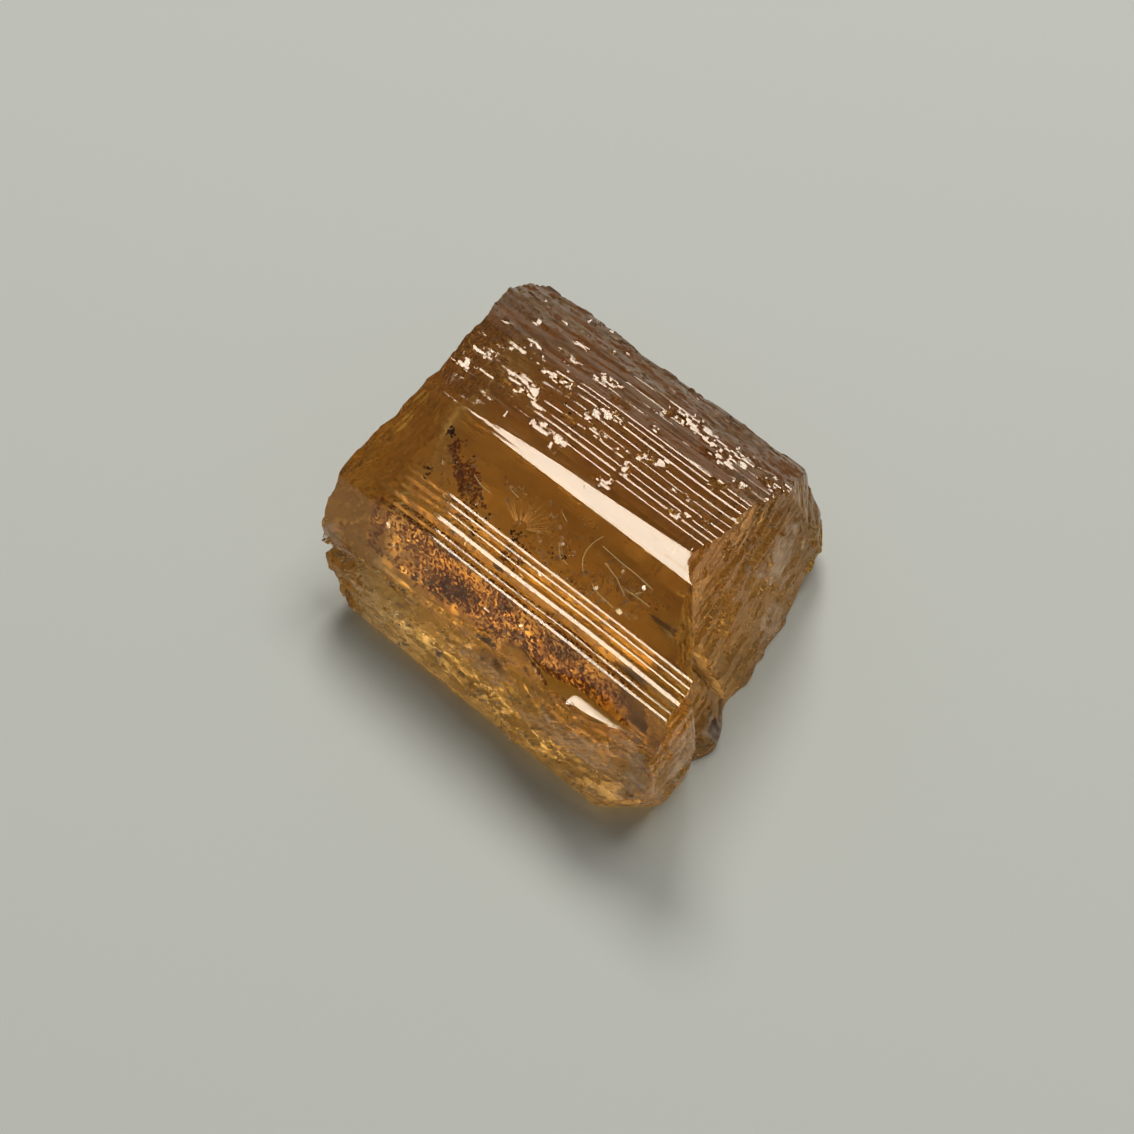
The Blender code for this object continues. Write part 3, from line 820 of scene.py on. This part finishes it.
# %% Healed cracks
def film_tree(material, sizes):
    tree, given, output = new_tree("healed_films", sizes)
    nodes, links = tree.nodes, tree.links
    thick = put(nodes, "ShaderNodeTexNoise", Scale=1100.0, Detail=3.0)
    dense = put(nodes, "ShaderNodeMapRange", From_Max=0.66)
    scatter = put(nodes, "GeometryNodeDistributePointsOnFaces", distribute_method="RANDOM")
    plate = put(nodes, "GeometryNodeMeshCylinder", Vertices=6)
    off = put(nodes, "FunctionNodeRandomValue", data_type="FLOAT_VECTOR")
    off.inputs["Min"].default_value = (-0.7, -0.7, -3.1)
    off.inputs["Max"].default_value = (0.7, 0.7, 3.1)
    turn = put(nodes, "FunctionNodeEulerToRotation")
    tilt = put(nodes, "FunctionNodeRotateRotation", rotation_space="LOCAL")
    size = put(nodes, "FunctionNodeRandomValue", data_type="FLOAT_VECTOR")
    size.inputs["Min"].default_value = (0.35, 0.3, 1.0)
    size.inputs["Max"].default_value = (1.6, 0.9, 1.0)
    place = nodes.new("GeometryNodeInstanceOnPoints")
    links.new(given.outputs["Geometry"], scatter.inputs["Mesh"])
    links.new(thick.outputs["Fac"], dense.inputs["Value"])
    links.new(given.outputs["Threshold"], dense.inputs["From Min"])
    links.new(given.outputs["Density"], dense.inputs["To Max"])
    links.new(dense.outputs["Result"], scatter.inputs["Density"])
    links.new(given.outputs["Seed"], scatter.inputs["Seed"])
    links.new(given.outputs["Radius"], plate.inputs["Radius"])
    links.new(given.outputs["Thickness"], plate.inputs["Depth"])
    links.new(off.outputs["Value"], turn.inputs["Euler"])
    links.new(scatter.outputs["Rotation"], tilt.inputs["Rotation"])
    links.new(turn.outputs["Rotation"], tilt.inputs["Rotate By"])
    links.new(scatter.outputs["Points"], place.inputs["Points"])
    links.new(plate.outputs["Mesh"], place.inputs["Instance"])
    links.new(tilt.outputs["Rotation"], place.inputs["Rotation"])
    links.new(size.outputs["Value"], place.inputs["Scale"])
    finish_tree(tree, output, place.outputs["Instances"], material)
    return tree


def sheet(corner, along_edge, across_edge, swell, seed, cells=(18, 10)):
    """Points and faces of a curved sheet: a parallelogram that bulges and ripples off its plane."""
    corner, u, v = np.array(corner), np.array(along_edge), np.array(across_edge)
    normal = np.cross(u, v)
    normal = normal / np.linalg.norm(normal)
    points = []
    for i in range(cells[0] + 1):
        for j in range(cells[1] + 1):
            s, t = i / cells[0], j / cells[1]
            lift = swell * (math.sin(math.pi * s) * math.sin(math.pi * t))
            ripple = 0.16 * noise.noise((s * 3 + seed, t * 3, seed))
            points.append(corner + u * s + v * t + normal * (lift + ripple))
    rows = cells[1] + 1
    faces = [
        (i * rows + j, (i + 1) * rows + j, (i + 1) * rows + j + 1, i * rows + j + 1)
        for i in range(cells[0]) for j in range(cells[1])
    ]
    return points, faces


def sheets_mesh(name, sheets):
    points, faces = [], []
    for piece_points, piece_faces in sheets:
        start = len(points)
        points += piece_points
        faces += [tuple(start + i for i in face) for face in piece_faces]
    mesh = bpy.data.meshes.new(name)
    mesh.from_pydata(metres(points), [], faces)
    return mesh


FILM_SIZES = {"Density": 7.0e7, "Threshold": 0.48, "Radius": 0.000075, "Thickness": 0.000004, "Seed": 4}
golden = see_through("golden_film", (1.0, 0.86, 0.55, 1.0), 2.4, 0.92)
cracks = sheets_mesh("crack_sheets", [
    sheet((4.0, 1.2, 4.6), (4.6, 0.8, 0.5), (-0.6, 1.6, 0.6), 0.35, 1.0),
    sheet((6.2, 2.0, 3.2), (3.8, 0.9, 1.6), (0.2, 1.4, -1.2), 0.30, 2.0),
    sheet((2.2, 0.8, 2.4), (2.6, 0.2, 0.6), (0.3, 1.0, 1.6), 0.25, 3.0),
    sheet((2.4, 0.66, 2.7), (8.2, 0.0, 0.5), (0.0, 0.36, 1.35), 0.10, 4.0),
    sheet((2.4, 1.25, 2.6), (8.2, 0.0, 0.5), (0.0, 0.36, 1.50), 0.10, 7.0),
    sheet((2.0, 4.6, 4.6), (6.5, 0.6, -0.2), (0.4, 2.6, -0.9), 0.35, 5.0),
    sheet((8.2, 4.5, 1.2), (0.9, 0.3, 3.4), (0.4, 3.0, 0.2), 0.25, 6.0),
    sheet((2.8, 1.5, 4.65), (7.4, 0.0, 0.1), (0.0, 1.6, 0.72), 0.10, 8.0),
])
films = grown("healed_films", cracks, film_tree(golden, FILM_SIZES), FILM_SIZES)

VEIL_SIZES = {"Density": 4.2e8, "Threshold": 0.38, "Radius": 0.000055, "Thickness": 0.000004, "Seed": 12}
amber = see_through("amber_veil", (0.66, 0.24, 0.035, 1.0), 1.9, 0.50)
veil = sheets_mesh("veil_sheet", [
    sheet((1.9, 0.98, 2.5), (9.0, 0.0, 0.5), (0.0, 0.42, 1.60), 0.06, 9.0),
    sheet((2.8, 2.85, 5.32), (1.6, -1.05, -0.45), (0.35, 0.45, 0.19), 0.05, 10.0),
    sheet((5.80, 1.50, 4.75), (0.60, 0.0, 0.0), (0.10, 0.55, 0.24), 0.05, 11.0),
])
veil = grown("amber_veil", veil, film_tree(amber, VEIL_SIZES), VEIL_SIZES)

# %% [markdown]
# Needles fan out from one spot of the shoulder face and reach its surface. Cones stand on a tiny wall
# bent around the spot, so each one points straight away from it and lies in the face.

# %% Needles
def needle_tree(material, sizes):
    tree, given, output = new_tree("needles", sizes)
    nodes, links = tree.nodes, tree.links
    scatter = put(nodes, "GeometryNodeDistributePointsOnFaces", distribute_method="RANDOM")
    cone = put(nodes, "GeometryNodeMeshCone", Vertices=5)
    size = put(nodes, "FunctionNodeRandomValue", data_type="FLOAT")
    size.inputs[2].default_value = 0.45
    size.inputs[3].default_value = 1.15
    place = nodes.new("GeometryNodeInstanceOnPoints")
    links.new(given.outputs["Geometry"], scatter.inputs["Mesh"])
    links.new(given.outputs["Density"], scatter.inputs["Density"])
    links.new(given.outputs["Seed"], scatter.inputs["Seed"])
    links.new(given.outputs["Radius"], cone.inputs["Radius Bottom"])
    links.new(given.outputs["Length"], cone.inputs["Depth"])
    links.new(scatter.outputs["Points"], place.inputs["Points"])
    links.new(cone.outputs["Mesh"], place.inputs["Instance"])
    links.new(scatter.outputs["Rotation"], place.inputs["Rotation"])
    links.new(size.outputs[1], place.inputs["Scale"])
    finish_tree(tree, output, place.outputs["Instances"], material)
    return tree


def skin_height(x, y):
    """Height of the crystal's upper side: that of the nearest point of its sides that faces up."""
    far = np.hypot(side_points[..., 0] - x, side_points[..., 1] - y) + np.where(outward[..., 1] > 0.3, 0.0, 100.0)
    return float(side_points[..., 2].ravel()[far.argmin()])


def open_ring(x, y, radius, height, first, last, pieces=24):
    """A low wall around a spot of the shoulder face, square to it, from one angle to another."""
    lean = math.radians(SHOULDER)
    points = []
    for i in range(pieces + 1):
        turn = math.radians(first + (last - first) * i / pieces)
        u, v = radius * math.cos(turn), radius * math.sin(turn)
        for w in (0.0, height):
            up = skin_height(x, y) + v * math.sin(lean) + w * math.cos(lean)
            points.append((x + u, y + v * math.cos(lean) - w * math.sin(lean), up))
    faces = [(2 * i, 2 * i + 2, 2 * i + 3, 2 * i + 1) for i in range(pieces)]
    return points, faces


NEEDLE_SIZES = {"Density": 3.0e9, "Radius": 0.000013, "Length": 0.0008, "Seed": 7}
needle_finish = plain_material("needle", (0.90, 0.46, 0.11, 1.0), 0.5)
needle_host = sheets_mesh("needle_ring", [open_ring(6.0, 2.05, 0.20, 0.02, 20.0, 165.0)])
needles = grown("needles", needle_host, needle_tree(needle_finish, NEEDLE_SIZES), NEEDLE_SIZES)

# %% [markdown]
# Grains of iron oxide sit in clusters. The host is a mesh of bare points, drawn from a seeded random
# source around the cluster centres, and the tree puts a small many-sided ball on each.

# %% Iron grains
def grain_tree(material, sizes):
    tree, given, output = new_tree("iron_grains", sizes)
    nodes, links = tree.nodes, tree.links
    ball = put(nodes, "GeometryNodeMeshIcoSphere", Subdivisions=1)
    size = put(nodes, "FunctionNodeRandomValue", data_type="FLOAT_VECTOR")
    size.inputs["Min"].default_value = (0.3, 0.3, 0.3)
    size.inputs["Max"].default_value = (1.5, 1.1, 0.8)
    place = nodes.new("GeometryNodeInstanceOnPoints")
    links.new(given.outputs["Geometry"], place.inputs["Points"])
    links.new(given.outputs["Radius"], ball.inputs["Radius"])
    links.new(ball.outputs["Mesh"], place.inputs["Instance"])
    links.new(size.outputs["Value"], place.inputs["Scale"])
    finish_tree(tree, output, place.outputs["Instances"], material)
    return tree


GRAIN_SIZES = {"Radius": 0.000045}
GRAIN_CLUSTERS = [
    ((2.75, 3.05, 5.70), 0.16, 16), ((2.95, 1.95, 5.30), 0.12, 12), ((4.8, 1.9, 5.05), 0.42, 22),
    ((6.0, 2.0, 5.2), 0.30, 20), ((9.55, 6.3, 4.2), 0.16, 9), ((9.7, 6.2, 3.6), 0.14, 8),
    ((4.4, 5.6, 5.2), 0.5, 14), ((8.4, 7.4, 4.1), 0.6, 18), ((3.4, 0.6, 1.9), 0.15, 14),
    ((7.2, 2.4, 5.0), 0.8, 16),
]


def cluster_points():
    draw = np.random.default_rng(19)
    points = []
    for centre, spread, count in GRAIN_CLUSTERS:
        points += (np.array(centre) + draw.normal(0.0, spread * 0.5, (count, 3))).tolist()
    mesh = bpy.data.meshes.new("grain_points")
    mesh.from_pydata(metres(points), [], [])
    return mesh


iron = plain_material("iron_grain", (0.075, 0.022, 0.008, 1.0), 0.5)
grains = grown("iron_grains", cluster_points(), grain_tree(iron, GRAIN_SIZES), GRAIN_SIZES)

# %% [markdown]
# The thin bright lines across the shoulder face are cracks that reach it, seen edge on. Each is a few
# points on the skin, and the tree runs a fine tube along them, coloured pale gold as a painted highlight
# for the light the cracks catch.

# %% Crack lines, with a painted highlight
def line_tree(material, sizes):
    tree, given, output = new_tree("painted_crack_highlights", sizes)
    nodes, links = tree.nodes, tree.links
    curve = nodes.new("GeometryNodeMeshToCurve")
    profile = put(nodes, "GeometryNodeCurvePrimitiveCircle", mode="RADIUS", Resolution=5)
    tube = nodes.new("GeometryNodeCurveToMesh")
    tube.inputs["Fill Caps"].default_value = True
    links.new(given.outputs["Geometry"], curve.inputs["Mesh"])
    links.new(given.outputs["Radius"], profile.inputs["Radius"])
    links.new(curve.outputs["Curve"], tube.inputs["Curve"])
    links.new(profile.outputs["Curve"], tube.inputs["Profile Curve"])
    finish_tree(tree, output, tube.outputs["Mesh"], material)
    return tree


LINE_SIZES = {"Radius": 0.000010}
LINES = [
    [(7.85, 3.10), (7.76, 2.85), (7.75, 2.60), (7.82, 2.38), (8.05, 2.15)],
    [(8.00, 2.90), (8.60, 2.86), (9.20, 2.85), (9.75, 2.80)],
    [(9.18, 2.42), (9.60, 2.44), (10.0, 2.44)],
    [(8.35, 2.62), (8.85, 2.50), (9.30, 2.30)],
    [(6.60, 2.95), (6.85, 2.85)],
    [(8.45, 2.05), (8.70, 1.96), (9.30, 1.90)],
    [(5.10, 2.65), (5.45, 2.60)],
    [(7.05, 2.35), (7.30, 2.12), (7.62, 2.05)],
    [(4.10, 2.40), (4.40, 2.30), (4.75, 2.28)],
]


def line_points():
    points, edges = [], []
    for line in LINES:
        start = len(points)
        points += [(x, y, skin_height(x, y)) for x, y in line]
        edges += [(start + i, start + i + 1) for i in range(len(line) - 1)]
    mesh = bpy.data.meshes.new("line_points")
    mesh.from_pydata(metres(points), edges, [])
    return mesh


# The pale gold is a painted highlight: it stands for light caught by the cracks, which have no colour of their own.
painted_crack_highlight = plain_material("crack_edge_painted_highlight", (1.0, 0.76, 0.36, 1.0), 0.4)
lines = grown("painted_crack_highlights", line_points(), line_tree(painted_crack_highlight, LINE_SIZES), LINE_SIZES)

# %% [markdown]
# The studio is plain: a wide pale table top, an even grey surround, one round soft lamp high behind the
# crystal, where its level faces mirror it to the camera, and a second, broader lamp higher up and a little behind.
# The camera looks down at the photograph's angle with a long lens. Nothing here belongs to the object.

# %% Studio
VIEW = Vector((0.3934, -0.4174, 0.8192))
AIM = Vector((0.000187, -0.000956, 0.001791))
LAMP = Vector((-0.3934, 0.4174, 0.8192))
LAMP_DISTANCE = 0.30
LAMP_SIZE = 0.106
LAMP_POWER = 0.295
SIDE_LAMP = Vector((0.08, 0.36, 0.93))
SIDE_DISTANCE = 0.40
SIDE_SIZE = 0.20
SIDE_POWER = 0.41


def table_top():
    mesh = bpy.data.meshes.new("table_top")
    size = 3.0
    mesh.from_pydata([(-size, -size, 0), (size, -size, 0), (size, size, 0), (-size, size, 0)], [], [(0, 1, 2, 3)])
    top = bpy.data.objects.new("table_top", mesh)
    top.location.z = -0.000015
    scene.collection.objects.link(top)
    material, _, shader = new_material("pale_table")
    shader.inputs["Base Color"].default_value = (0.68, 0.70, 0.652, 1.0)
    shader.inputs["Roughness"].default_value = 0.9
    mesh.materials.append(material)


def soft_light(name, place, aim, shape, size, power):
    lamp = bpy.data.lights.new(name, "AREA")
    lamp.shape = shape
    lamp.size = size
    lamp.energy = power
    lamp.color = (1.0, 0.98, 0.95)
    obj = bpy.data.objects.new(name, lamp)
    obj.location = place
    obj.rotation_euler = (aim - place).to_track_quat("-Z", "Y").to_euler()
    obj.visible_camera = False
    scene.collection.objects.link(obj)


def surround(level, lean):
    """An even grey surround that is a little brighter on the lamp's side and dimmer on the other."""
    world = bpy.data.worlds.new("surround")
    world.use_nodes = True
    nodes, links = world.node_tree.nodes, world.node_tree.links
    direction = put(nodes, "ShaderNodeTexCoord")
    lamp_side = put(nodes, "ShaderNodeVectorMath", operation="DOT_PRODUCT")
    lamp_side.inputs[1].default_value = LAMP.normalized()
    strength = put(nodes, "ShaderNodeMath", operation="MULTIPLY_ADD")
    strength.inputs[1].default_value = lean
    strength.inputs[2].default_value = level
    floor_level = put(nodes, "ShaderNodeMath", operation="MAXIMUM")
    floor_level.inputs[1].default_value = 0.05
    links.new(direction.outputs["Generated"], lamp_side.inputs[0])
    links.new(lamp_side.outputs["Value"], strength.inputs[0])
    links.new(strength.outputs[0], floor_level.inputs[0])
    background = nodes["Background"]
    background.inputs["Color"].default_value = (1.0, 1.0, 0.99, 1.0)
    links.new(floor_level.outputs[0], background.inputs["Strength"])
    scene.world = world


def camera():
    data = bpy.data.cameras.new("camera")
    data.lens = 100.0
    data.sensor_width = 36.0
    data.clip_start = 0.001
    obj = bpy.data.objects.new("camera", data)
    obj.location = AIM + VIEW.normalized() * 0.0819
    obj.rotation_euler = (-VIEW).to_track_quat("-Z", "Y").to_euler()
    scene.collection.objects.link(obj)
    scene.camera = obj


table_top()
soft_light("lamp", LAMP.normalized() * LAMP_DISTANCE, Vector((0, 0, 0.003)), "DISK", LAMP_SIZE, LAMP_POWER)
soft_light("side_lamp", SIDE_LAMP.normalized() * SIDE_DISTANCE, Vector((0, 0, 0.003)), "DISK", SIDE_SIZE, SIDE_POWER)
surround(0.12, 0.05)
camera()
scene.view_settings.view_transform = "Standard"
scene.view_settings.look = "Medium High Contrast"
scene.cycles.max_bounces = 16
scene.cycles.transmission_bounces = 16
scene.cycles.volume_bounces = 0
